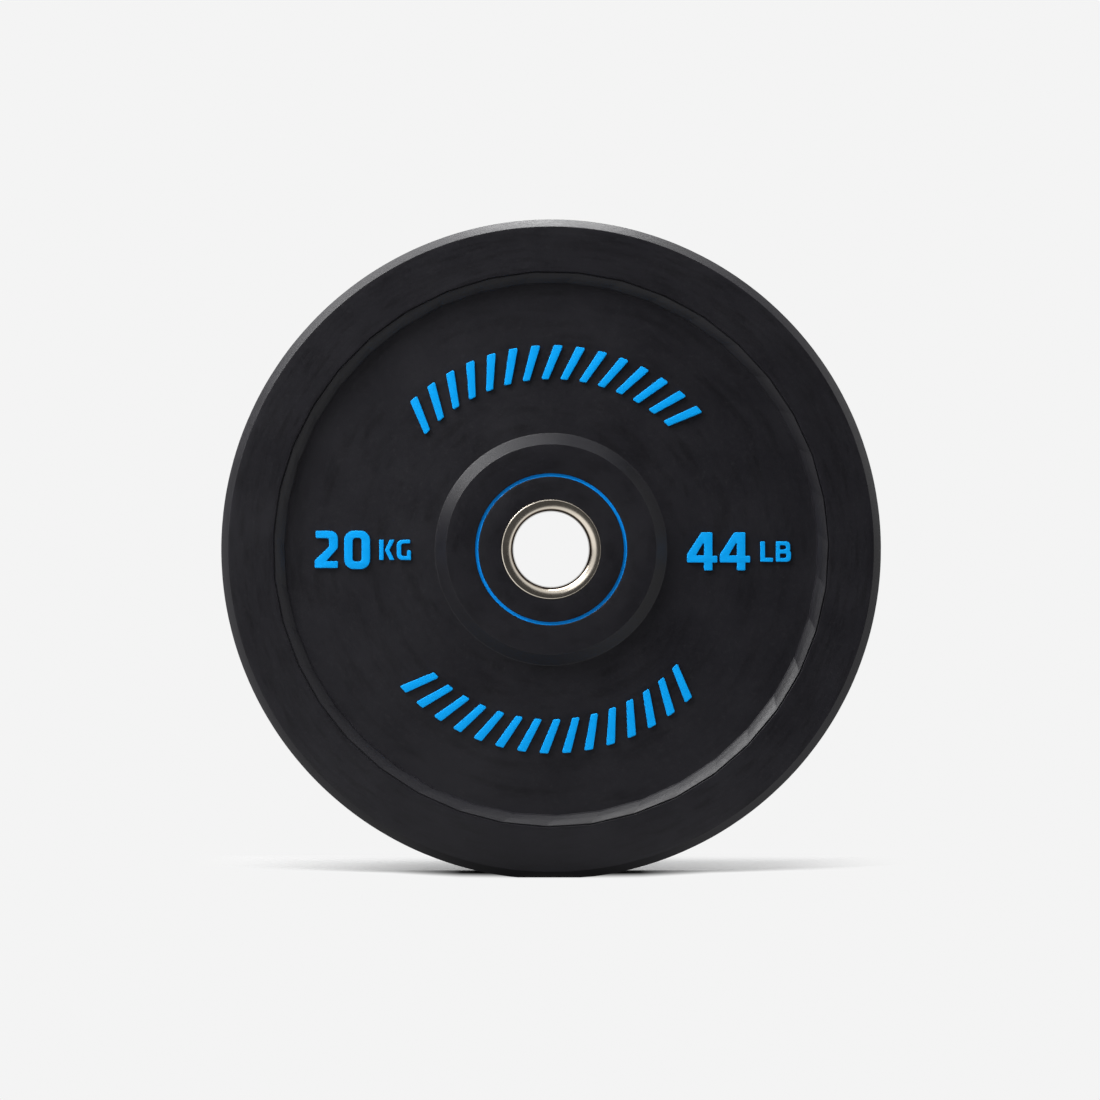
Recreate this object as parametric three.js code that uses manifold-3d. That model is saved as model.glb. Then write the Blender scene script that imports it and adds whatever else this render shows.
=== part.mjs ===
import * as THREE from "three";
import { mergeVertices, toCreasedNormals } from "three/addons/utils/BufferGeometryUtils.js";
import Module from "manifold-3d";

// A rubber bumper plate for a barbell with 50 mm sleeves, as it stands on its tread.
// Millimetres. The origin is the middle of the plate, the plate's axis runs along Y, and +Z is up.
// A rubber body is moulded round a steel insert: a bell-mouthed sleeve with a holed disc welded on.

const wasm = await Module();
wasm.setup();

// The plate as a whole
const plateDiameter = 450; // over the tread
const plateWidth = 80; // from one rim face to the other
const treadChamfer = 5.6; // how far the tread's chamfer cuts into the rim face
const treadChamferWidth = 5.6; // and how far along the tread
const standWidth = 54; // the tread is cut flat this wide where the plate stands, so that it stays put

// Both faces
const rimFaceWidth = 30.9; // flat ring between the tread chamfer and the rim bevel
const hubFaceDiameter = 143; // flat face round the bore
const recessDepth = 8; // from the faces down to the web
const rimBevelRun = 8; // how far the rim's slope reaches over the web
const hubBevelRun = 7.6; // the same at the hub
const edgeRound = 0.8; // where a bevel leaves a face
const footRound = 1.2; // where a bevel meets the web

// The blue ring let into each hub face
const ringDiameter = 101.1; // along the middle of its width
const ringGrooveWidth = 2.9;
const ringGrooveDepth = 1.8;
const ringVeeDepth = 1; // the ring's face is pressed in along its middle

// The steel sleeve
const boreDiameter = 52;
const sleeveWall = 3;
const mouthRound = 7; // radius of the bell mouth at each end of the bore
const lipLand = 0.7; // how far the lip runs on past the bell mouth
const lipBreak = 0.4; // the lip's outer edge is broken by this
const lipProud = 0.5; // the lip stands this far out of the hub face

// The disc that anchors the sleeve
const anchorDiameter = 130;
const anchorThickness = 6;
const anchorHoleCount = 8;
const anchorHoleDiameter = 16;
const weldLeg = 4; // fillet weld between the disc and the sleeve

// Between pieces that seat on one another
const fitClearance = 0.3;

// How finely round forms are cut. The tread's count is a multiple of four, so that it is as wide as high.
const treadFacets = 64;
const insertFacets = 60;
const holeFacets = 24;
const mouthSteps = 5;
const backSteps = 3;
const roundSteps = 2;
const roundLimitShare = 0.45; // a round takes no more than this share of the shorter side beside it

// Radii and heights that follow from the sizes above
const treadRadius = plateDiameter / 2;
const standHeight = Math.sqrt(treadRadius ** 2 - (standWidth / 2) ** 2);
const faceHeight = plateWidth / 2;
const rimOuterRadius = treadRadius - treadChamfer;
const rimInnerRadius = rimOuterRadius - rimFaceWidth;
const webOuterRadius = rimInnerRadius - rimBevelRun;
const hubRadius = hubFaceDiameter / 2;
const webInnerRadius = hubRadius + hubBevelRun;
const webHeight = faceHeight - recessDepth;
const boreRadius = boreDiameter / 2;
const sleeveRadius = boreRadius + sleeveWall;
const sleeveHeight = faceHeight + lipProud;
const mouthRadius = boreRadius + mouthRound;
const mouthHeight = sleeveHeight - mouthRound;
const backRound = mouthRound - sleeveWall;
const lipRadius = mouthRadius + lipLand;
const ringInnerRadius = (ringDiameter - ringGrooveWidth) / 2;
const ringOuterRadius = (ringDiameter + ringGrooveWidth) / 2;
const weldRootRadius = sleeveRadius + fitClearance;
const anchorRadius = anchorDiameter / 2;
const anchorHolePitchRadius = (weldRootRadius + weldLeg + anchorRadius) / 2; // midway from weld to rim

// A corner of a profile: its radius, its height along the axis, and the radius that rounds it off.
function corner(radius, height, round = 0) {
  return { place: new THREE.Vector2(radius, height), round };
}

// The arc that rounds one corner, as points from the side before it to the side after it.
function roundedCorner(before, here, after) {
  if (here.round === 0) {
    return [here.place];
  }
  const back = before.place.clone().sub(here.place);
  const ahead = after.place.clone().sub(here.place);
  const halfAngle = Math.acos(back.dot(ahead) / (back.length() * ahead.length())) / 2;
  const longest = roundLimitShare * Math.min(back.length(), ahead.length());
  const reach = Math.min(here.round / Math.tan(halfAngle), longest);
  const radius = reach * Math.tan(halfAngle);
  const inward = back.clone().normalize().add(ahead.clone().normalize()).normalize();
  const centre = here.place.clone().addScaledVector(inward, radius / Math.sin(halfAngle));
  const start = here.place.clone().addScaledVector(back.normalize(), reach).sub(centre);
  const end = here.place.clone().addScaledVector(ahead.normalize(), reach).sub(centre);
  const turn = Math.atan2(start.cross(end), start.dot(end));
  const points = [];
  for (let step = 0; step <= roundSteps; step += 1) {
    const spoke = start.clone().rotateAround(new THREE.Vector2(), (turn * step) / roundSteps);
    points.push(centre.clone().add(spoke));
  }
  return points;
}

// A quarter arc about a centre, from the side facing the axis round to the side facing along it.
function quarterArc(radius, height, arcRadius, steps) {
  const corners = [];
  for (let step = 0; step <= steps; step += 1) {
    const angle = ((Math.PI / 2) * step) / steps;
    corners.push(corner(radius - arcRadius * Math.cos(angle), height + arcRadius * Math.sin(angle)));
  }
  return corners;
}

// The corners of one side, then the same ones on the other side in the opposite order.
function bothSides(corners) {
  const mirrored = corners.map(({ place, round }) => corner(place.x, -place.y, round));
  return [...mirrored, ...corners.toReversed()];
}

// Turns a closed profile about the plate's axis, with a flat rather than a corner at the bottom.
function turned(corners, facets) {
  const points = corners.flatMap((here, i) => {
    const before = corners.at(i - 1);
    const after = corners[(i + 1) % corners.length];
    return roundedCorner(before, here, after);
  });
  points.push(points[0].clone());
  return new THREE.LatheGeometry(points, facets, Math.PI / facets);
}

// A closed geometry as a solid that can be joined and cut.
function solidOf(geometry) {
  const bare = geometry.clone();
  bare.deleteAttribute("normal");
  bare.deleteAttribute("uv");
  const merged = mergeVertices(bare);
  const vertProperties = merged.getAttribute("position").array;
  const triVerts = new Uint32Array(merged.getIndex().array);
  return new wasm.Manifold(new wasm.Mesh({ numProp: 3, vertProperties, triVerts }));
}

// And back to a geometry, with its sharp edges kept sharp when it is shaded.
function geometryOf(solid) {
  const mesh = solid.getMesh();
  const geometry = new THREE.BufferGeometry();
  geometry.setAttribute("position", new THREE.BufferAttribute(mesh.vertProperties, 3));
  geometry.setIndex(new THREE.BufferAttribute(mesh.triVerts, 1));
  return toCreasedNormals(geometry, Math.PI / 8);
}

// The profile of the rubber from the sleeve's seat out to the tread, on the side of +Y.
function bodySide() {
  const seatedBack = quarterArc(mouthRadius, mouthHeight, backRound - fitClearance, backSteps);
  const lipPocketRadius = lipRadius + fitClearance;
  const lipPocketHeight = mouthHeight + backRound - fitClearance;
  const grooveHeight = faceHeight - ringGrooveDepth;
  return [
    ...seatedBack,
    corner(lipPocketRadius, lipPocketHeight),
    corner(lipPocketRadius, faceHeight),
    corner(ringInnerRadius, faceHeight),
    corner(ringInnerRadius, grooveHeight),
    corner(ringOuterRadius, grooveHeight),
    corner(ringOuterRadius, faceHeight),
    corner(hubRadius, faceHeight, edgeRound),
    corner(webInnerRadius, webHeight, footRound),
    corner(webOuterRadius, webHeight, footRound),
    corner(rimInnerRadius, faceHeight, edgeRound),
    corner(rimOuterRadius, faceHeight),
    corner(treadRadius, faceHeight - treadChamferWidth),
  ];
}

// A block under the plate. Its top is the flat that the tread is cut to.
function standCutter() {
  const cutDepth = treadRadius - standHeight;
  const block = new THREE.BoxGeometry(plateDiameter, 2 * plateWidth, 2 * cutDepth);
  return solidOf(block.translate(0, 0, -standHeight - cutDepth));
}

// The black body. The disc is cut out of it grown by the clearance, so that round pegs of rubber are
// left standing through the disc's holes.
function rubberBody() {
  const whole = solidOf(turned(bothSides(bodySide()), treadFacets));
  return geometryOf(whole.subtract(standCutter()).subtract(anchorSolid(fitClearance)));
}

// The sleeve: a tube whose ends open in a quarter round to a narrow lip that sits in the hub face.
function boreSleeve() {
  const mouth = quarterArc(mouthRadius, mouthHeight, mouthRound, mouthSteps);
  const back = quarterArc(mouthRadius, mouthHeight, backRound, backSteps);
  const lip = [
    corner(lipRadius - lipBreak, sleeveHeight),
    corner(lipRadius, sleeveHeight - lipBreak),
    corner(lipRadius, mouthHeight + backRound),
  ];
  return turned(bothSides([...mouth, ...lip, ...back.toReversed()]), insertFacets);
}

// Half the anchor disc's profile, on the side of +Y, with the weld that runs round its root.
function anchorSide(grow) {
  const height = anchorThickness / 2 + grow;
  const slope = weldLeg + grow * Math.SQRT2;
  return [
    corner(weldRootRadius - grow, height + slope),
    corner(weldRootRadius - grow + slope, height),
    corner(anchorRadius + grow, height),
  ];
}

// The anchor disc with its ring of holes. All its walls stand out by what it is grown.
function anchorSolid(grow) {
  let disc = solidOf(turned(bothSides(anchorSide(grow)), insertFacets));
  const holeRadius = anchorHoleDiameter / 2 - grow;
  const holeLength = 2 * (anchorThickness + grow);
  const hole = new THREE.CylinderGeometry(holeRadius, holeRadius, holeLength, holeFacets);
  for (let i = 0; i < anchorHoleCount; i += 1) {
    const angle = (2 * Math.PI * i) / anchorHoleCount;
    const across = anchorHolePitchRadius * Math.sin(angle);
    const up = anchorHolePitchRadius * Math.cos(angle);
    const placed = hole.clone().translate(across, 0, up);
    disc = disc.subtract(solidOf(placed));
  }
  return disc;
}

// A blue ring: it fills its groove up to the hub face, and its own face is a shallow vee.
function hubRing() {
  const innerRadius = ringInnerRadius + fitClearance;
  const outerRadius = ringOuterRadius - fitClearance;
  const floorHeight = faceHeight - ringGrooveDepth + fitClearance;
  return turned(
    [
      corner(innerRadius, floorHeight),
      corner(outerRadius, floorHeight),
      corner(outerRadius, faceHeight),
      corner(ringDiameter / 2, faceHeight - ringVeeDepth),
      corner(innerRadius, faceHeight),
    ],
    insertFacets,
  );
}

const blackRubber = new THREE.MeshStandardMaterial({ color: 0x222224, roughness: 0.62, metalness: 0 });
const blueRubber = new THREE.MeshStandardMaterial({ color: 0x0a9be8, roughness: 0.5, metalness: 0 });
const stainlessSteel = new THREE.MeshStandardMaterial({ color: 0xc9c1b4, roughness: 0.28, metalness: 1 });
const plainSteel = new THREE.MeshStandardMaterial({ color: 0x77787a, roughness: 0.55, metalness: 1 });

function named(name, geometry, material) {
  const mesh = new THREE.Mesh(geometry, material);
  mesh.name = name;
  return mesh;
}

const frontRing = named("hub_ring_front", hubRing(), blueRubber);
frontRing.rotation.z = Math.PI;

const group = new THREE.Group();
group.add(
  named("rubber_body", rubberBody(), blackRubber),
  named("bore_sleeve", boreSleeve(), stainlessSteel),
  named("anchor_flange", geometryOf(anchorSolid(0)), plainSteel),
  named("hub_ring_rear", hubRing(), blueRubber),
  frontRing,
);

export default group;
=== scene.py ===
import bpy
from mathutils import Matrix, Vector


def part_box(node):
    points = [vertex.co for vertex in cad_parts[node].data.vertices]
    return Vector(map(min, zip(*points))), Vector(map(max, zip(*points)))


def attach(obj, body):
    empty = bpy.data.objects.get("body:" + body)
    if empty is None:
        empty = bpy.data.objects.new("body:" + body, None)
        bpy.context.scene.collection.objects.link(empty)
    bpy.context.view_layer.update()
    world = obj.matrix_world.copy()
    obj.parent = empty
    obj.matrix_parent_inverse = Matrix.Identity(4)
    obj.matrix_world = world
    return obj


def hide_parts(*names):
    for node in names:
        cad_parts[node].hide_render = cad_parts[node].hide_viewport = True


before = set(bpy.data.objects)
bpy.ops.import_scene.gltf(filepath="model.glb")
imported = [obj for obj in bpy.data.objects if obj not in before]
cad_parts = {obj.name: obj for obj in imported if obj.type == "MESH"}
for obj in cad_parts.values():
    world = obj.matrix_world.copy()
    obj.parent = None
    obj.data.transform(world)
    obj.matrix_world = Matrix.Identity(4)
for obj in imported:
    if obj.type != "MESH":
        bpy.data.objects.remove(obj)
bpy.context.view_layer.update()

import math

import bpy
import numpy as np
from mathutils import Matrix, Vector
from mathutils.geometry import tessellate_polygon

# A rubber bumper plate for a barbell, standing on its tread. The plate's axis runs along Y, the face
# that the camera sees is towards -Y, and +Z is up. Sizes are in millimetres until a mesh is made.
MM = 0.001
LOWEST, HIGHEST = (np.array(corner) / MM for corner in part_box("rubber_body"))

# The rubber body. Heights are from the middle of the plate's width, and radii are from its axis.
FACE_HEIGHT = 40.0  # the rim's face and the hub's face
WEB_HEIGHT = 32.0
HUB_RADIUS, HUB_FOOT = 71.5, 79.1  # the top and the foot of the hub's slope
SLOPE_START = 180.9  # where the rim's slope leaves the web; it rises steeply at first
SLOPE_FOOT, SLOPE_BEND, SLOPE_TOP = (181.5, 33.4), (184.3, 36.3), (187.95, 39.5)
CREASE_INNER, CREASE_OUTER, CREASE_FLOOR = 188.15, 188.75, 38.9  # the narrow groove beside the slope
RIM_INNER, RIM_OUTER = 188.95, 219.4
TREAD_RADIUS = HIGHEST[0]
TREAD_HALF_WIDTH = 34.4
PARTING_LINE = 0.12  # how far the mould's parting line stands out of the tread
PARTING_CREST, PARTING_FOOT = 0.6, 1.3  # half its width at the top and at the foot

# The rim's slope is cut in flats, which fade out over rings of points on the web and on the rim's face.
BEVEL_FACETS = 39
BEVEL_SAG = 0.52  # how far the middle of a flat stands in from its ends
SAG_SHARES = 0.85, 1.15  # by chance, a flat has between these shares of it
BEVEL_MEAN = 0.35  # the mean of the sag, which is put back, so that the slope keeps its radius
BEVEL_SLANT = math.radians(2.8)  # the ridges between the flats lean by this
SLANT_START, SLANT_END = 180.5, 188.35  # between these radii
BEVEL_START = math.radians(2.96)  # the first ridge, from the top
BEVEL_JITTER = 0.09  # a ridge is shifted by up to this, by chance
FLAT_COLUMNS = -1, -0.97, -0.85, -0.6, -0.25, 0.25, 0.6, 0.85, 0.97  # places of points along a flat
WEB_RINGS, RIM_RINGS = (172.0, 176.0), (191.0, 197.0, 205.0, 214.0)
FLATS_FADE_IN, FLATS_FADE_OUT, SLANT_FADE_OUT = (172.0, 178.0), (191.0, 197.0), (192.0, 214.0)

# The blue ring, and the steel that lines the bore
GROOVE_INNER, GROOVE_OUTER, GROOVE_FLOOR = 49.2, 51.9, 38.2
RING_INNER, RING_OUTER = 49.5, 51.6
RING_SUNK, RING_DISH = 1.0, 0.25  # its face lies this far below the hub's, and is hollow by this
SEAT_GAP = 0.3  # between the rubber and what it holds
BORE_RADIUS, SLEEVE_RADIUS, LIP_RADIUS = 26.0, 29.0, 33.7
MOUTH_ROUND = 7.0
THROAT_ROUND, THROAT_TURN = 3.4, math.radians(55)  # the mouth's tight inner round; a wide one follows
LIP_HEIGHT = 40.5
LIP_LAND, LIP_FALL = 0.65, 0.28  # the narrow land round the mouth slopes down to the edge by this
LIP_SEAT = 37.2  # where the rubber under the lip ends
TURNED_STEPS = 192  # points round a turned piece

# The pocket in the rubber round the anchor disc, and round the weld that joins it to the sleeve
ANCHOR_POCKET, ANCHOR_POCKET_HALF = 65.3, 3.3  # its radius, and half of its width
WELD_POCKET, WELD_POCKET_HALF = 33.4, 7.4

# Raised marks on the web
MARK_RAISE = 1.7
MARK_SUNK = 0.3  # they start this far down in the rubber
MARK_DRAFT = 0.15  # and their sides lean in by this
MARK_EDGE = 0.3  # the round of their upper edge


def linear(colour):
    """An sRGB colour such as "1e1e20" as the four linear numbers that a shader takes."""
    share = np.array([int(colour[i : i + 2], 16) for i in (0, 2, 4)]) / 255
    low, high = share / 12.92, ((share + 0.055) / 1.055) ** 2.4
    return (*np.where(share <= 0.04045, low, high).tolist(), 1.0)


def add(tree, kind, inputs=(), **settings):
    """One node with its settings. Each input is given a value, or another node's output to link to it. A
    Mix node's inputs go by number: 0 is the share of the second, and 6 and 7 are the colours."""
    node = tree.nodes.new("ShaderNode" + kind)
    for name, value in settings.items():
        setattr(node, name, value)
    for name, value in dict(inputs).items():
        if isinstance(value, bpy.types.NodeSocket):
            tree.links.new(value, node.inputs[name])
        else:
            node.inputs[name].default_value = value
    return node


def new_material(name):
    """An empty material, its tree and the place on the object in millimetres."""
    material = bpy.data.materials.new(name)
    material.use_nodes = True
    tree = material.node_tree
    tree.nodes.clear()
    place = add(tree, "TexCoord").outputs["Object"]
    scaled = add(tree, "VectorMath", {0: place, "Scale": 1 / MM}, operation="SCALE")
    return material, tree, scaled.outputs["Vector"]


def from_axis(tree, place):
    """How far a place is from the plate's axis, and the direction of the spoke that it lies on."""
    flat = add(tree, "VectorMath", {0: place, 1: (1.0, 0.0, 1.0)}, operation="MULTIPLY").outputs["Vector"]
    radius = add(tree, "VectorMath", {0: flat}, operation="LENGTH").outputs["Value"]
    spoke = add(tree, "VectorMath", {0: flat}, operation="NORMALIZE").outputs["Vector"]
    return radius, spoke


def black_vulcanised_rubber():
    """Compression-moulded black rubber. The mould leaves a satin skin with a fine grain and faint turned
    rings, and the carbon black shows as slightly uneven greys, with a little pale bloom. Where the plate
    has been turned and slid in its rack, long smears along the circumference look darker and smoother,
    and so do short scuffs on the rim, which is what touches other things."""
    material, tree, place = new_material("black_vulcanised_rubber")
    # Clouds of 45 mm, specks of 2 mm, and a grain and rings that are finer on the real rubber
    cloud = add(tree, "TexNoise", {"Vector": place, "Scale": 1 / 45, "Detail": 3.0, "Roughness": 0.55})
    speck = add(tree, "TexNoise", {"Vector": place, "Scale": 1 / 2.2, "Detail": 2.0})
    grain = add(tree, "TexNoise", {"Vector": place, "Scale": 1 / 0.9, "Detail": 3.0, "Roughness": 0.6})
    radius, spoke = from_axis(tree, place)
    rings = add(tree, "TexNoise", {"W": radius, "Scale": 1 / 1.4, "Detail": 3.0}, noise_dimensions="1D")
    # Smears are 9 mm wide and at the rim some 60 mm long, and the scuffs are 2.6 times smaller
    outward = add(tree, "Math", {0: radius, 1: 1 / 9}, operation="MULTIPLY")
    outward = add(tree, "CombineXYZ", {"Y": outward.outputs["Value"]})
    sweep = add(tree, "VectorMath", {0: spoke, 1: (3.3, 3.3, 3.3), 2: outward.outputs["Vector"]},
                operation="MULTIPLY_ADD").outputs["Vector"]
    smear = add(tree, "TexNoise", {"Vector": sweep, "Scale": 1.0, "Detail": 4.0, "Roughness": 0.6})
    smeared = add(tree, "MapRange", {"Value": smear.outputs["Fac"], "From Min": 0.5, "From Max": 0.68,
                                     "To Max": 0.6})
    scuff = add(tree, "TexNoise", {"Vector": sweep, "Scale": 2.6, "Detail": 5.0, "Roughness": 0.65})
    scuffed = add(tree, "MapRange", {"Value": scuff.outputs["Fac"], "From Min": 0.48, "From Max": 0.66,
                                     "To Max": 0.7})
    rim = add(tree, "MapRange", {"Value": radius, "From Min": 184.0, "From Max": 190.0})
    scuffed = add(tree, "Math", {0: scuffed.outputs["Result"], 1: rim.outputs["Result"]},
                  operation="MULTIPLY")
    smeared = add(tree, "Math", {0: smeared.outputs["Result"], 1: scuffed.outputs["Value"]},
                  operation="MAXIMUM").outputs["Value"]
    tone = add(tree, "Mix", {0: cloud.outputs["Fac"], 6: linear("100f14"), 7: linear("17161c")},
               data_type="RGBA")
    tone = add(tree, "Mix", {0: smeared, 6: tone.outputs[2], 7: linear("0d0c10")}, data_type="RGBA")
    fleck = add(tree, "MapRange", {"Value": speck.outputs["Fac"], "From Min": 0.62, "From Max": 0.8,
                                   "To Max": 0.22})
    bloom = add(tree, "Mix", {0: fleck.outputs["Result"], 6: tone.outputs[2], 7: linear("2a2a2d")},
                data_type="RGBA")
    worn = add(tree, "MapRange", {"Value": cloud.outputs["Fac"], "From Min": 0.3, "From Max": 0.7,
                                  "To Min": 0.40, "To Max": 0.48})
    uneven = add(tree, "MapRange", {"Value": speck.outputs["Fac"], "From Min": 0.2, "From Max": 0.8,
                                    "To Min": -0.04, "To Max": 0.04})
    rough = add(tree, "Math", {0: worn.outputs["Result"], 1: uneven.outputs["Result"]}, operation="ADD")
    rough = add(tree, "Math", {0: smeared, 1: -0.06, 2: rough.outputs["Value"]}, operation="MULTIPLY_ADD")
    turned_skin = add(tree, "Bump", {"Height": rings.outputs["Fac"], "Strength": 0.3,
                                     "Distance": 0.05 * MM})
    skin = add(tree, "Bump", {"Height": grain.outputs["Fac"], "Strength": 0.35, "Distance": 0.06 * MM,
                              "Normal": turned_skin.outputs["Normal"]})
    shader = add(tree, "BsdfPrincipled", {"Base Color": bloom.outputs[2], "IOR": 1.4,
                                          "Roughness": rough.outputs["Value"],
                                          "Normal": skin.outputs["Normal"]})
    add(tree, "OutputMaterial", {"Surface": shader.outputs[0]})
    return material


def blue_coloured_rubber(name, deep, bright):
    """Blue pigmented rubber, moulded into the black. The pigment is even and strong, the skin satin, and
    only a faint clouding and a grain show, which is drawn coarser than it is."""
    material, tree, place = new_material(name)
    cloud = add(tree, "TexNoise", {"Vector": place, "Scale": 1 / 7, "Detail": 3.0})
    grain = add(tree, "TexNoise", {"Vector": place, "Scale": 1 / 0.8, "Detail": 2.0})
    tone = add(tree, "Mix", {0: cloud.outputs["Fac"], 6: linear(deep), 7: linear(bright)},
               data_type="RGBA")
    rough = add(tree, "MapRange", {"Value": cloud.outputs["Fac"], "From Min": 0.3, "From Max": 0.7,
                                   "To Min": 0.42, "To Max": 0.52})
    skin = add(tree, "Bump", {"Height": grain.outputs["Fac"], "Strength": 0.3, "Distance": 0.05 * MM})
    shader = add(tree, "BsdfPrincipled", {"Base Color": tone.outputs[2], "IOR": 1.4,
                                          "Specular IOR Level": 0.2, "Roughness": rough.outputs["Result"],
                                          "Normal": skin.outputs["Normal"]})
    add(tree, "OutputMaterial", {"Surface": shader.outputs[0]})
    return material


def satin_stainless_steel():
    """Stainless steel, turned and then brushed across the mouth of the bore. The brushing shows as fine
    lines that run out from the bore like spokes, and the alloy has a warm nickel tint. The bore and the
    foot of the mouth are coloured dark brown, as painted shade where the mouth turns into the bore."""
    material, tree, place = new_material("satin_stainless_steel")
    radius, spoke = from_axis(tree, place)
    # The lines are half a millimetre apart, which is coarser than real ones, so that they show
    along = add(tree, "VectorMath", {0: place, 1: (0.0, 0.006, 0.0)}, operation="MULTIPLY")
    brushed = add(tree, "VectorMath", {0: spoke, 1: along.outputs["Vector"]}, operation="ADD")
    lines = add(tree, "TexNoise", {"Vector": brushed.outputs["Vector"], "Scale": 55.0, "Detail": 4.0,
                                   "Roughness": 0.65})
    cloud = add(tree, "TexNoise", {"Vector": place, "Scale": 1 / 9, "Detail": 2.0})
    tone = add(tree, "Mix", {0: cloud.outputs["Fac"], 6: linear("d4cabb"), 7: linear("e0d7ca")},
               data_type="RGBA")
    # Painted shade: dark brown over the bore and the foot of the mouth
    throat = add(tree, "MapRange", {"Value": radius, "From Min": BORE_RADIUS + 1.9,
                                    "From Max": BORE_RADIUS + 1.3, "To Max": 0.9})
    stained = add(tree, "Mix", {0: throat.outputs["Result"], 6: tone.outputs[2], 7: linear("46392c")},
                  data_type="RGBA")
    rough = add(tree, "MapRange", {"Value": lines.outputs["Fac"], "From Min": 0.3, "From Max": 0.7,
                                   "To Min": 0.15, "To Max": 0.23})
    skin = add(tree, "Bump", {"Height": lines.outputs["Fac"], "Strength": 0.06, "Distance": 0.03 * MM})
    shader = add(tree, "BsdfPrincipled", {"Base Color": stained.outputs[2], "Metallic": 1.0,
                                          "Roughness": rough.outputs["Result"],
                                          "Normal": skin.outputs["Normal"]})
    add(tree, "OutputMaterial", {"Surface": shader.outputs[0]})
    return material


def pickled_mild_steel():
    """Mild steel plate, laser cut and pickled so that rubber bonds to it: a dull, clouded grey."""
    material, tree, place = new_material("pickled_mild_steel")
    cloud = add(tree, "TexNoise", {"Vector": place, "Scale": 1 / 12, "Detail": 5.0, "Roughness": 0.6})
    pits = add(tree, "TexNoise", {"Vector": place, "Scale": 1 / 0.7, "Detail": 2.0})
    tone = add(tree, "Mix", {0: cloud.outputs["Fac"], 6: linear("66676a"), 7: linear("8b8c8e")},
               data_type="RGBA")
    rough = add(tree, "MapRange", {"Value": cloud.outputs["Fac"], "From Min": 0.3, "From Max": 0.7,
                                   "To Min": 0.48, "To Max": 0.66})
    skin = add(tree, "Bump", {"Height": pits.outputs["Fac"], "Strength": 0.5, "Distance": 0.05 * MM})
    shader = add(tree, "BsdfPrincipled", {"Base Color": tone.outputs[2], "Metallic": 1.0,
                                          "Roughness": rough.outputs["Result"],
                                          "Normal": skin.outputs["Normal"]})
    add(tree, "OutputMaterial", {"Surface": shader.outputs[0]})
    return material


def new_object(name, data):
    """An object for a mesh, a lamp or a camera, put into the scene."""
    made = bpy.data.objects.new(name, data)
    bpy.context.scene.collection.objects.link(made)
    return made


def finished_piece(name, points, faces, material, slot, sharp=40.0):
    """A mesh object from points in millimetres and faces of three or four corners. Its faces are turned
    round together if the volume that they enclose comes out negative. Edges that turn by more than the
    sharp angle, in degrees, stay sharp."""
    points = np.asarray(points, float)
    quads = np.array([f for f in faces if len(f) == 4], int).reshape(-1, 4)
    threes = np.array([f for f in faces if len(f) == 3], int).reshape(-1, 3)
    triangles = np.vstack([quads[:, [0, 1, 2]], quads[:, [0, 2, 3]], threes])
    a, b, c = (points[triangles[:, i]] for i in range(3))
    volume = np.einsum("ij,ij->i", a, np.cross(b, c)).sum() / 6
    if volume < 0:
        quads, threes = quads[:, ::-1], threes[:, ::-1]
    mesh = bpy.data.meshes.new(name)
    mesh.from_pydata((points * MM).tolist(), [], quads.tolist() + threes.tolist())
    mesh.polygons.foreach_set("use_smooth", np.ones(len(mesh.polygons), bool))
    mesh.set_sharp_from_angle(angle=math.radians(sharp))
    mesh.materials.append(material)
    mesh.validate()
    piece = new_object(name, mesh)
    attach(piece, "root")
    return piece


def grid_faces(rows, columns, closed_rows=True):
    """The four corners of every cell of a grid whose points are numbered row by row. Each row closes on
    itself, and the last row joins the first one unless the rows are open."""
    i = np.arange(rows if closed_rows else rows - 1)[:, None]
    j = np.arange(columns)[None, :]
    a = i * columns + j
    b = i * columns + (j + 1) % columns
    c = ((i + 1) % rows) * columns + (j + 1) % columns
    d = ((i + 1) % rows) * columns + j
    return np.stack([a, b, c, d], -1).reshape(-1, 4)


def rounded(corners, steps):
    """A profile with its corners rounded. A corner is (across, along, round), and it becomes an arc of
    that radius that touches both of its sides, or a smaller one where a side is too short."""
    corners = np.asarray(corners, float)
    place, rounds = corners[:, :2], corners[:, 2]
    points = []
    for k, here in enumerate(place):
        back, ahead = place[k - 1] - here, place[(k + 1) % len(place)] - here
        room = 0.48 * min(np.linalg.norm(back), np.linalg.norm(ahead))
        back, ahead = back / np.linalg.norm(back), ahead / np.linalg.norm(ahead)
        half = math.acos(np.clip(back @ ahead, -1, 1)) / 2
        if rounds[k] == 0 or half > 0.499 * math.pi:
            points.append(here[None])
            continue
        reach = min(rounds[k] / math.tan(half), room)
        radius = reach * math.tan(half)
        centre = here + (back + ahead) / np.linalg.norm(back + ahead) * radius / math.sin(half)
        start, end = here + back * reach - centre, here + ahead * reach - centre
        turn = math.atan2(start[0] * end[1] - start[1] * end[0], start @ end)
        angle = turn * np.linspace(0, 1, steps + 1)[:, None]
        points.append(centre + start * np.cos(angle) + np.array([-start[1], start[0]]) * np.sin(angle))
    return np.vstack(points)


def arc(across, along, radius, start, end, steps):
    """Corners without a round along an arc. Its angles, in degrees, start from the inward direction and
    turn towards the face."""
    return [(across - radius * math.cos(a), along + radius * math.sin(a), 0)
            for a in np.radians(np.linspace(start, end, steps + 1))]


def both_sides(side):
    """The corners of a profile on the front half, then the same ones on the rear half in reverse."""
    return list(side) + [(across, -along, round_) for across, along, round_ in reversed(side)]


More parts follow.
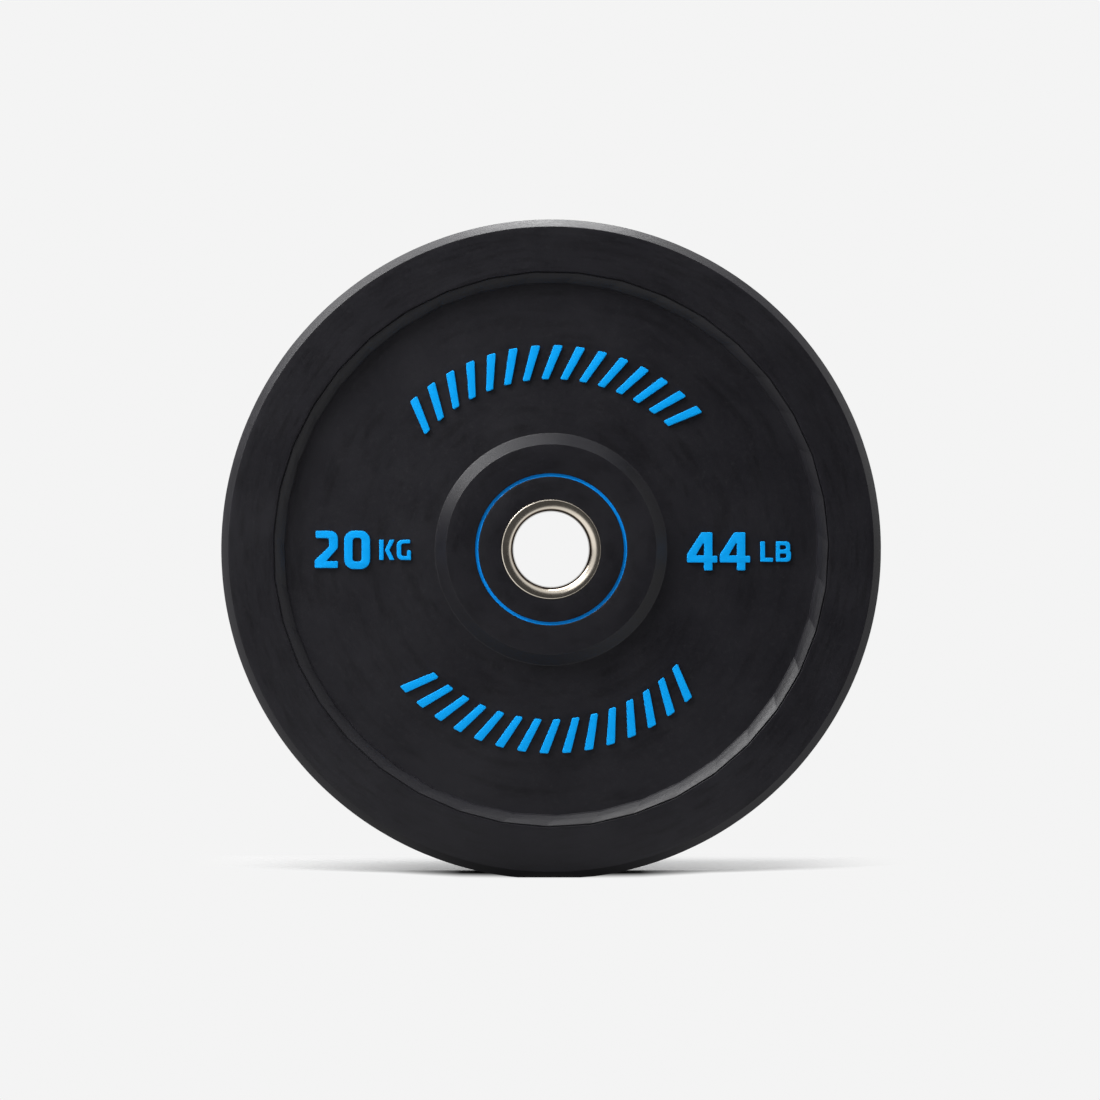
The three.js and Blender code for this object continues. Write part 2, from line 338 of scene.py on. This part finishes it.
def turned(profile):
    """A profile of (radius, height) carried round the plate's axis: x is the radius times the sine of the
    angle, z is the radius times its cosine, and y is minus the height, so that heights go to the front.
    It comes back as points and faces."""
    angles = np.linspace(0, 2 * math.pi, TURNED_STEPS, endpoint=False)[:, None]
    radius, height = profile[:, 0][None], profile[:, 1][None]
    across, up = radius * np.sin(angles), radius * np.cos(angles)
    points = np.stack([across, np.broadcast_to(-height, across.shape), up], -1)
    return points.reshape(-1, 3), grid_faces(len(angles), len(profile))


def smooth_step(value, start, end):
    """Nought before start, one after end, and a smooth rise between them."""
    share = np.clip((value - start) / (end - start), 0, 1)
    return share * share * (3 - 2 * share)


def body_profile():
    """The black body's profile of (radius, height), from the anchor disc's pocket round to it again."""
    seat, pocket = SLEEVE_RADIUS + SEAT_GAP, LIP_RADIUS + SEAT_GAP
    back = MOUTH_ROUND - (seat - BORE_RADIUS)
    tread = TREAD_RADIUS - PARTING_LINE
    side = [
        (ANCHOR_POCKET, ANCHOR_POCKET_HALF, 0), (WELD_POCKET, ANCHOR_POCKET_HALF, 0),
        (seat, WELD_POCKET_HALF, 0),
        *arc(BORE_RADIUS + MOUTH_ROUND, LIP_HEIGHT - MOUTH_ROUND, back, 0, 90, 6),
        (pocket, LIP_SEAT, 0), (pocket, FACE_HEIGHT, 0.35),
        (GROOVE_INNER, FACE_HEIGHT, 0.25), (GROOVE_INNER, GROOVE_FLOOR, 0),
        (GROOVE_OUTER, GROOVE_FLOOR, 0), (GROOVE_OUTER, FACE_HEIGHT, 0.25),
        (HUB_RADIUS, FACE_HEIGHT, 0.6), (HUB_FOOT, WEB_HEIGHT, 1.0),
        *((ring, WEB_HEIGHT, 0) for ring in WEB_RINGS),
        (SLOPE_START, WEB_HEIGHT, 0.25), (*SLOPE_FOOT, 1.0), (*SLOPE_BEND, 20.0), (*SLOPE_TOP, 0.4),
        (CREASE_INNER, CREASE_FLOOR, 0), (CREASE_OUTER, CREASE_FLOOR, 0), (RIM_INNER, FACE_HEIGHT, 0.2),
        *((ring, FACE_HEIGHT, 0) for ring in RIM_RINGS),
        (RIM_OUTER, FACE_HEIGHT, 0.5), (tread, TREAD_HALF_WIDTH, 0.8),
        (tread, PARTING_FOOT, 0.2), (TREAD_RADIUS, PARTING_CREST, 0.2),
    ]
    return rounded(both_sides(side), 4)


def rubber_body_points():
    """The black body: a closed profile carried round the axis. On the rim's slope the radius also follows
    a ring of flats, so it is less by the sag times one minus the square of the place along a flat, and
    the angle grows with the radius, so that the ridges between the flats lean. Where the plate stands,
    points that would lie below the floor lie on it."""
    profile = body_profile()
    radius, height = profile.T
    sloped = np.abs(height) > WEB_HEIGHT - 1
    near = smooth_step(radius, *FLATS_FADE_IN) * (1 - smooth_step(radius, *FLATS_FADE_OUT)) * sloped
    lean = np.clip((radius - SLANT_START) / (SLANT_END - SLANT_START), 0, 1)
    lean = lean * (1 - smooth_step(radius, *SLANT_FADE_OUT)) * sloped * np.sign(height)
    along = np.array(FLAT_COLUMNS)[None]
    share = (along + 1) / 2
    # Each ridge is shifted by chance, and tilted, and a flat runs straight from one ridge to the next
    chance = np.random.default_rng(20)
    ridges = chance.uniform(-BEVEL_JITTER, BEVEL_JITTER, (2, BEVEL_FACETS, 1))
    level, slope = ridges * (1 - share) + np.roll(ridges, -1, 1) * share
    depth = BEVEL_SAG * chance.uniform(*SAG_SHARES, (BEVEL_FACETS, 1))
    level = (BEVEL_MEAN + level - depth * (1 - along ** 2)).reshape(-1, 1)
    shift = level + slope.reshape(-1, 1) * (2 * np.abs(lean) / np.abs(lean).max() - 1)[None]
    pitch = 2 * math.pi / BEVEL_FACETS
    angles = (BEVEL_START + pitch * (np.arange(BEVEL_FACETS)[:, None] + share)).reshape(-1, 1)
    angles = angles + BEVEL_SLANT * lean[None]
    moved = radius[None] + shift * near[None]
    across, up = moved * np.sin(angles), moved * np.cos(angles)
    up = np.maximum(up, LOWEST[2])
    points = np.stack([across, np.broadcast_to(-height[None], across.shape), up], -1)
    return points.reshape(-1, 3), grid_faces(len(angles), len(profile))


def bore_sleeve_points():
    """The steel sleeve: a closed profile carried round the axis. Each mouth is two arcs that meet without
    a corner, a tight one out of the bore and a wide one that ends level at a narrow land."""
    inner = LIP_HEIGHT - MOUTH_ROUND
    middle = BORE_RADIUS + MOUTH_ROUND
    back = middle - SLEEVE_RADIUS
    throat = THROAT_ROUND * (1 - math.cos(THROAT_TURN))
    wide = (LIP_RADIUS - LIP_LAND - BORE_RADIUS - throat) / math.cos(THROAT_TURN)
    meet = LIP_HEIGHT - wide * (1 - math.sin(THROAT_TURN))
    mouth = arc(BORE_RADIUS + THROAT_ROUND, meet - THROAT_ROUND * math.sin(THROAT_TURN), THROAT_ROUND,
                0, math.degrees(THROAT_TURN), 10)
    mouth += arc(LIP_RADIUS - LIP_LAND, LIP_HEIGHT - wide, wide, math.degrees(THROAT_TURN), 90, 14)[1:]
    under = arc(middle, inner, back, 90, 0, 6)
    lip = [(LIP_RADIUS, LIP_HEIGHT - LIP_FALL, 0.12), (LIP_RADIUS, inner + back, 0.2)]
    return turned(rounded(both_sides([*mouth, *lip, *under]), 4))


def hub_ring_points():
    """A blue ring: a closed profile carried round the axis. Its face is dished between its edges, by the
    dish's depth times one minus the distance from the middle to the power of three."""
    share = np.linspace(1, -1, 17)
    across = (RING_INNER + RING_OUTER) / 2 + share * (RING_OUTER - RING_INNER) / 2
    height = FACE_HEIGHT - RING_SUNK - RING_DISH * (1 - np.abs(share) ** 3)
    floor = [(RING_INNER, GROOVE_FLOOR + SEAT_GAP), (RING_OUTER, GROOVE_FLOOR + SEAT_GAP)]
    return turned(np.vstack([floor, np.stack([across, height], -1)]))


def inset(loop, distance):
    """A closed outline moved inwards: each point goes along the mean of its two sides' normals, by the
    distance over the cosine of half the turn there. Outlines run anticlockwise, and holes clockwise."""
    ahead = np.roll(loop, -1, 0) - loop
    ahead /= np.linalg.norm(ahead, axis=1, keepdims=True)
    normal = np.stack([-ahead[:, 1], ahead[:, 0]], -1)
    mean = normal + np.roll(normal, 1, 0)
    return loop + mean * (2 * distance / (mean * mean).sum(1, keepdims=True))


def raised_mark(loops):
    """A closed raised mark over one outline and its holes. The outline is carried up from inside the
    rubber with a little draft, and a quarter round takes it over to the flat top."""
    turn = np.radians(np.linspace(0, 90, 5))
    top = WEB_HEIGHT + MARK_RAISE
    steps = [(0, WEB_HEIGHT - MARK_SUNK)]
    steps += [(MARK_DRAFT + MARK_EDGE * (1 - math.cos(a)), top - MARK_EDGE * (1 - math.sin(a)))
              for a in turn]
    points, faces, start = [], [], 0
    lid, base = [], []
    for loop in loops:
        rings = [np.column_stack([inset(loop, distance), np.full(len(loop), height)])
                 for distance, height in steps]
        faces.extend((grid_faces(len(steps), len(loop), closed_rows=False) + start).tolist())
        base.append(np.arange(len(loop)) + start)
        lid.append(base[-1] + (len(steps) - 1) * len(loop))
        points.append(np.vstack(rings))
        start += len(steps) * len(loop)
    points = np.vstack(points)
    for rim, order in ((lid, 1), (base, -1)):
        numbers = np.concatenate(rim)
        flat = [[(*points[i, :2], 0.0) for i in ring] for ring in rim]
        faces.extend(tuple(numbers[list(t)][::order].tolist()) for t in tessellate_polygon(flat))
    return points, faces


def together(parts):
    """Several sets of points and faces as one."""
    points, faces, start = [], [], 0
    for some, those in parts:
        points.append(some)
        faces.extend([tuple(int(i) + start for i in face) for face in those])
        start += len(some)
    return np.vstack(points), faces


def glyph(outlines, across, up):
    """A letter or figure from its corners (across, up, round), moved to its place on the web. Points of a
    mark are (across, up, height), and height is what comes towards the camera."""
    loops = []
    for k, corners in enumerate(outlines):
        loop = rounded(corners, 6)
        area = np.sum(loop[:, 0] * np.roll(loop[:, 1], -1) - np.roll(loop[:, 0], -1) * loop[:, 1])
        if (area < 0) == (k == 0):
            loop = loop[::-1]
        loops.append(loop + (across, up))
    return raised_mark(loops)


# Corners (across, up, round) of each letter and figure, from its lower left: its outline, then its holes
TWO = [[(0, 0, 0.9), (15.9, 0, 0.9), (15.9, 4.8, 0.9), (8.1, 4.8, 0.3), (15.9, 13.8, 3.0),
        (15.9, 25.4, 5.4), (0.3, 25.4, 1.3), (0.7, 20.3, 0.9), (9.7, 20.3, 1.5), (9.7, 14.6, 2.0),
        (0, 5.3, 1.6)]]
NOUGHT = [[(0, 0, 6.6), (17.8, 0, 6.6), (17.8, 26.3, 6.6), (0, 26.3, 6.6)],
          [(5.9, 5.3, 1.9), (11.9, 5.3, 1.9), (11.9, 21.3, 1.9), (5.9, 21.3, 1.9)]]
K_STEM = [[(0, 0, 0.6), (3.1, 0, 0.6), (3.1, 13.9, 0.6), (0, 13.9, 0.6)]]
K_ARMS = [[(3.8, 6.95, 0.8), (7.2, 0, 0.5), (10.6, 0, 0.5), (7.1, 6.95, 0.3), (10.6, 13.9, 0.5),
           (7.2, 13.9, 0.5)]]
G = [[(9.3, 13.9, 0.7), (9.3, 11.3, 0.7), (3.2, 11.3, 1.6), (3.2, 2.8, 1.6), (7.0, 2.8, 0.4),
      (7.0, 6.9, 1.4), (9.9, 6.9, 1.4), (9.9, 0, 0.7), (0, 0, 4.0), (0, 13.9, 4.0)]]
FOUR = [[(11.6, 0, 0.8), (17.5, 0, 0.8), (17.5, 5.4, 0.3), (20.8, 5.4, 0.8), (20.8, 10.1, 0.9),
         (17.5, 10.1, 0.3), (17.5, 26.1, 1.0), (9.9, 26.1, 1.8), (0, 10.9, 1.2), (0, 5.4, 0.9),
         (11.6, 5.4, 0.3)],
        [(6.2, 10.4, 0.4), (11.6, 10.4, 0.4), (11.6, 19.4, 0.4)]]
L = [[(0, 0, 0.7), (8.8, 0, 0.7), (8.8, 2.8, 0.7), (3.3, 2.8, 0.3), (3.3, 14.0, 0.8), (0, 14.0, 0.8)]]
B = [[(0, 0, 0.7), (10.4, 0, 3.0), (10.4, 6.9, 2.2), (9.5, 7.4, 0.5), (9.9, 7.9, 1.4), (9.9, 14.0, 3.0),
      (0, 14.0, 0.7)],
     [(2.9, 2.7, 0.4), (7.1, 2.7, 1.3), (7.1, 5.6, 1.2), (2.9, 5.6, 0.4)],
     [(2.9, 8.5, 0.4), (6.8, 8.5, 1.1), (6.8, 11.3, 1.1), (2.9, 11.3, 0.4)]]


def kilogram_mark():
    """The weight in kilograms, left of the hub."""
    return together([glyph(TWO, -161.0, -12.8), glyph(NOUGHT, -141.0, -13.6), glyph(K_STEM, -117.1, -7.4),
                     glyph(K_ARMS, -117.1, -7.4), glyph(G, -105.2, -7.4)])


def pound_mark():
    """The same weight in pounds, right of the hub."""
    return together([glyph(FOUR, 92.5, -14.5), glyph(FOUR, 114.9, -14.5), glyph(L, 142.5, -8.6),
                     glyph(B, 153.1, -8.6)])


BAR_COUNT = 15
BAR_SPAN = math.radians(44.5)  # half of the arc
BAR_INNER, BAR_OUTER, BAR_WIDTH = 115.8, 139.2, 5.4
BAR_LEAN = math.radians(22.0)
BAR_ROUND = 1.1


def arc_of_bars(middle):
    """Plain slanted bars along an arc of the web: each one is a four-cornered outline whose sides lean
    from the radius by the same angle, turned to its place on the arc. A corner is turned further by its
    distance sideways over the mean radius."""
    mean = (BAR_INNER + BAR_OUTER) / 2
    half = BAR_WIDTH / 2 / math.cos(BAR_LEAN)
    lean = (BAR_OUTER - BAR_INNER) / 2 * math.tan(BAR_LEAN)
    sideways = np.array([-half - lean, half - lean, half + lean, -half + lean])
    radius = np.array([BAR_INNER, BAR_INNER, BAR_OUTER, BAR_OUTER])
    parts = []
    for angle in middle + np.linspace(-BAR_SPAN, BAR_SPAN, BAR_COUNT):
        turn = angle + sideways / mean
        outline = np.column_stack([radius * np.sin(turn), radius * np.cos(turn), np.full(4, BAR_ROUND)])
        parts.append(glyph([outline], 0, 0))
    return parts


def on_face(points, side):
    """Marks from (across, up, height) to the frame, where side is 1 for the front and -1 for the rear.
    The rear face is the front one turned half a turn about the upright, so across and depth change
    their signs."""
    return np.column_stack([side * points[:, 0], -side * points[:, 2], points[:, 1]])


black = black_vulcanised_rubber()
blue = blue_coloured_rubber("blue_coloured_rubber", "0095e2", "009eed")
# The hub rings take a darker copy of the marks' blue: painted shade for the groove that they lie sunk in
deep_blue = blue_coloured_rubber("ring_blue_painted_shade_rubber", "0084e0", "008eea")
steel = satin_stainless_steel()

body = finished_piece("rubber_body_skin", *rubber_body_points(), black, "black_rubber", 50.0)
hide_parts("rubber_body")
sleeve = finished_piece("bore_sleeve_skin", *bore_sleeve_points(), steel, "stainless_steel", 50.0)
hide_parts("bore_sleeve")

ring_points, ring_faces = hub_ring_points()
marks = {
    "kilogram_mark": kilogram_mark(),
    "pound_mark": pound_mark(),
    "arc_bars": together(arc_of_bars(0.0) + arc_of_bars(math.pi)),
}
for face, side in (("front", 1), ("rear", -1)):
    ring = finished_piece(f"hub_ring_{face}_skin", ring_points * (side, side, 1), ring_faces,
                          deep_blue, "blue_rubber")
    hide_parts(f"hub_ring_{face}")
    for name, (points, faces) in marks.items():
        finished_piece(f"{name}_{face}", on_face(points, side), faces, blue, "blue_rubber")

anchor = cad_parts["anchor_flange"]
anchor.data.materials.clear()
anchor.data.materials.append(pickled_mild_steel())

# The camera looks straight along the plate's axis.
CAMERA_DISTANCE = 3300.0
CAMERA_ACROSS, CAMERA_UP = -0.75, -0.48  # which puts the plate where it stands in the photograph
PIXELS_PER_MM = 1.4689  # at the near edge of the tread, in a picture of this many pixels
PICTURE_WIDTH = 1100.0
SENSOR_WIDTH = 36.0
camera_data = bpy.data.cameras.new("camera")
camera = new_object("camera", camera_data)
camera.location = (CAMERA_ACROSS * MM, -CAMERA_DISTANCE * MM, CAMERA_UP * MM)
camera.rotation_euler = (math.radians(90), 0, 0)
camera_data.sensor_width = SENSOR_WIDTH
camera_data.lens = PIXELS_PER_MM * (CAMERA_DISTANCE - TREAD_HALF_WIDTH) * SENSOR_WIDTH / PICTURE_WIDTH
camera_data.clip_end = 100.0
bpy.context.scene.camera = camera

# The floor and the background. Their greys are bands of (depth, grey), where depth is how far a direction
# points away from the camera: dark round the camera, bright in a wide band about that, darker beside the
# plate, and pale behind it.
PALE = 0.904  # the linear value of the pale grey that the photograph has behind the plate
# The floor's glow to rays other than the camera's is painted light and painted reflection, in these bands
FLOOR_BANDS = (-0.84, 0.06), (-0.72, 0.85), (-0.36, 0.85), (-0.24, 0.45), (0.1, 0.45), (0.36, PALE)
WORLD_BANDS = (-0.86, 0.05), (-0.74, 0.8), (-0.36, 0.8), (-0.24, 0.08), (0.24, 0.08), (0.36, PALE)
BAND_LEAN = -0.25  # a direction to the right counts as this much depth, so the bands lean
BEHIND = 0.3  # from this depth on, a direction lies behind the plate
FLOOR_HALF = 30.0  # in metres
WHITE = (1.0, 1.0, 1.0, 1.0)


def studio_level(tree, direction, bands, share=1.0):
    """How bright the world or the floor is, by its direction from the plate. The camera and rays through
    glass see the pale grey, and so do reflections of what lies behind the plate. Other rays see greys in
    bands across the plate's axis, times a share, so that the dark side of a studio, round the camera,
    shows in the steel. The bands lean a little to the right."""
    part = add(tree, "SeparateXYZ", {"Vector": direction})
    leaned = add(tree, "Math", {0: part.outputs["X"], 1: BAND_LEAN, 2: part.outputs["Y"]},
                 operation="MULTIPLY_ADD")
    depths = add(tree, "MapRange", {"Value": leaned.outputs["Value"], "From Min": -1.0, "From Max": 1.0})
    greys = add(tree, "ValToRGB", {"Fac": depths.outputs["Result"]})
    while len(greys.color_ramp.elements) < len(bands):
        greys.color_ramp.elements.new(0.5)
    for stop, (depth, grey) in zip(greys.color_ramp.elements, bands):
        stop.position = (depth + 1) / 2
        stop.color = (grey, grey, grey, 1.0)
    path = add(tree, "LightPath")
    behind = add(tree, "Math", {0: part.outputs["Y"], 1: BEHIND}, operation="GREATER_THAN")
    shown = add(tree, "Math", {0: path.outputs["Is Camera Ray"], 1: path.outputs["Is Transmission Ray"]},
                operation="MAXIMUM")
    shown = add(tree, "Math", {0: path.outputs["Is Glossy Ray"], 1: behind.outputs["Value"],
                               2: shown.outputs["Value"]}, operation="MULTIPLY_ADD", use_clamp=True)
    light = add(tree, "Math", {0: greys.outputs["Color"], 1: share}, operation="MULTIPLY")
    return add(tree, "Mix", {0: shown.outputs["Value"], 2: light.outputs["Value"], 3: PALE},
               data_type="FLOAT").outputs[0]


def pale_floor():
    """The studio's pale floor. Round the plate's foot it is matt and takes the shadow. Further away it
    gives off the background's own level, so that no horizon shows. One goes over to the other behind the
    plate, at its sides, and in front along a parabola, where y less a share of the square of x falls."""
    material, tree, place = new_material("pale_floor")
    part = add(tree, "SeparateXYZ", {"Vector": place})
    right, back = part.outputs["X"], part.outputs["Y"]
    across = add(tree, "Math", {0: right}, operation="ABSOLUTE").outputs["Value"]
    squared = add(tree, "Math", {0: right, 1: right}, operation="MULTIPLY").outputs["Value"]
    curved = add(tree, "Math", {0: squared, 1: -0.0024, 2: back},
                 operation="MULTIPLY_ADD").outputs["Value"]
    away = 0.0
    for value, start, end in ((back, 115.0, 215.0), (curved, 8.0, -54.0), (across, 150.0, 260.0)):
        fade = add(tree, "MapRange", {"Value": value, "From Min": start, "From Max": end},
                   interpolation_type="SMOOTHSTEP")
        away = add(tree, "Math", {0: fade.outputs["Result"], 1: away},
                   operation="MAXIMUM").outputs["Value"]
    # Beside the foot, the front of the shadow is thinned by half
    beside = add(tree, "MapRange", {"Value": across, "From Min": 62.0, "From Max": 110.0, "To Max": 0.5})
    below = add(tree, "MapRange", {"Value": back, "From Min": 50.0, "From Max": 22.0})
    away = add(tree, "Math", {0: beside.outputs["Result"], 1: below.outputs["Result"], 2: away},
               operation="MULTIPLY_ADD", use_clamp=True).outputs["Value"]
    # Painted shade on the matt floor: its colour darkens by ambient occlusion where the plate hides the
    # room from it, and it is a little darker at the left, where the lamps light it more
    hidden = add(tree, "AmbientOcclusion", {"Distance": 0.35}, samples=4)
    grey = add(tree, "Math", {0: hidden.outputs["AO"], 1: 1.1}, operation="POWER")
    tone = add(tree, "MapRange", {"Value": right, "From Min": -200.0, "From Max": 200.0,
                                  "To Min": 0.42, "To Max": 0.56})
    grey = add(tree, "Math", {0: grey.outputs["Value"], 1: tone.outputs["Result"]}, operation="MULTIPLY")
    lit = add(tree, "BsdfDiffuse", {"Color": grey.outputs["Value"]})
    # Painted shadow and light in the floor's glow: what other rays see of it is darkest at the foot, as
    # painted shadow, and brighter towards both sides, as painted light
    direction = add(tree, "VectorMath", {0: place}, operation="NORMALIZE").outputs["Vector"]
    reach = add(tree, "VectorMath", {0: place, 1: (1.0, 1.0, 0.0)}, operation="MULTIPLY")
    reach = add(tree, "VectorMath", {0: reach.outputs["Vector"]}, operation="LENGTH")
    shaded = add(tree, "MapRange", {"Value": reach.outputs["Value"], "From Min": 45.0, "From Max": 120.0,
                                    "To Min": 0.3})
    sideways = add(tree, "MapRange", {"Value": across, "From Min": 60.0, "From Max": 200.0,
                                      "To Min": 1.0, "To Max": 1.3})
    shaded = add(tree, "Math", {0: shaded.outputs["Result"], 1: sideways.outputs["Result"]},
                 operation="MULTIPLY").outputs["Value"]
    level = studio_level(tree, direction, FLOOR_BANDS, shaded)
    glow = add(tree, "Emission", {"Color": WHITE, "Strength": level})
    mixed = add(tree, "MixShader", {0: away, 1: lit.outputs[0], 2: glow.outputs[0]})
    add(tree, "OutputMaterial", {"Surface": mixed.outputs[0]})
    return material


floor_mesh = bpy.data.meshes.new("floor")
floor_corners = [(x * FLOOR_HALF, y * FLOOR_HALF, LOWEST[2] * MM)
                 for x, y in ((-1, -1), (1, -1), (1, 1), (-1, 1))]
floor_mesh.from_pydata(floor_corners, [], [(0, 1, 2, 3)])
floor_mesh.materials.append(pale_floor())
new_object("floor", floor_mesh)

world = bpy.data.worlds.new("studio")
bpy.context.scene.world = world
world.use_nodes = True
tree = world.node_tree
tree.nodes.clear()
direction = add(tree, "TexCoord").outputs["Generated"]
sky = add(tree, "Background", {"Color": WHITE, "Strength": studio_level(tree, direction, WORLD_BANDS)})
add(tree, "OutputWorld", {"Surface": sky.outputs[0]})

LAMP_DISTANCE = 2.0  # in metres, from the plate's middle


def softbox(name, azimuth, elevation, width, height, radiance):
    """A rectangular lamp, turned towards the plate's middle. Its azimuth is clockwise from the top as the
    camera sees it, its elevation is out of the plate's middle plane towards the camera, and its width, in
    metres as its height is, lies along the azimuth. Its power in watts is pi times its area times the
    light that each part of its face gives off."""
    turn, rise = math.radians(azimuth), math.radians(elevation)
    away = Vector((math.sin(turn) * math.cos(rise), -math.sin(rise), math.cos(turn) * math.cos(rise)))
    along = Vector((math.cos(turn), 0.0, -math.sin(turn)))
    lamp_data = bpy.data.lights.new(name, "AREA")
    lamp_data.shape = "RECTANGLE"
    lamp_data.size, lamp_data.size_y = width, height
    lamp_data.energy = radiance * math.pi * width * height
    lamp = new_object(name, lamp_data)
    lamp.location = away * LAMP_DISTANCE
    lamp.rotation_euler = Matrix((along, away.cross(along), away)).transposed().to_euler()


softbox("overhead", 0, -10, 0.7, 0.7, 27.0)
softbox("overhead_left", -32, -10, 1.3, 0.7, 4.5)
softbox("key", -42, 21, 0.9, 0.7, 12.5)
softbox("front", -40, 52, 0.7, 0.7, 1.4)
softbox("key_strip", -30, 20, 2.4, 0.7, 8.0)
softbox("right", 66, -4, 1.3, 0.7, 1.7)
softbox("right_high", 22, 1, 0.7, 0.7, 3.2)

bpy.context.scene.view_settings.view_transform = "Standard"
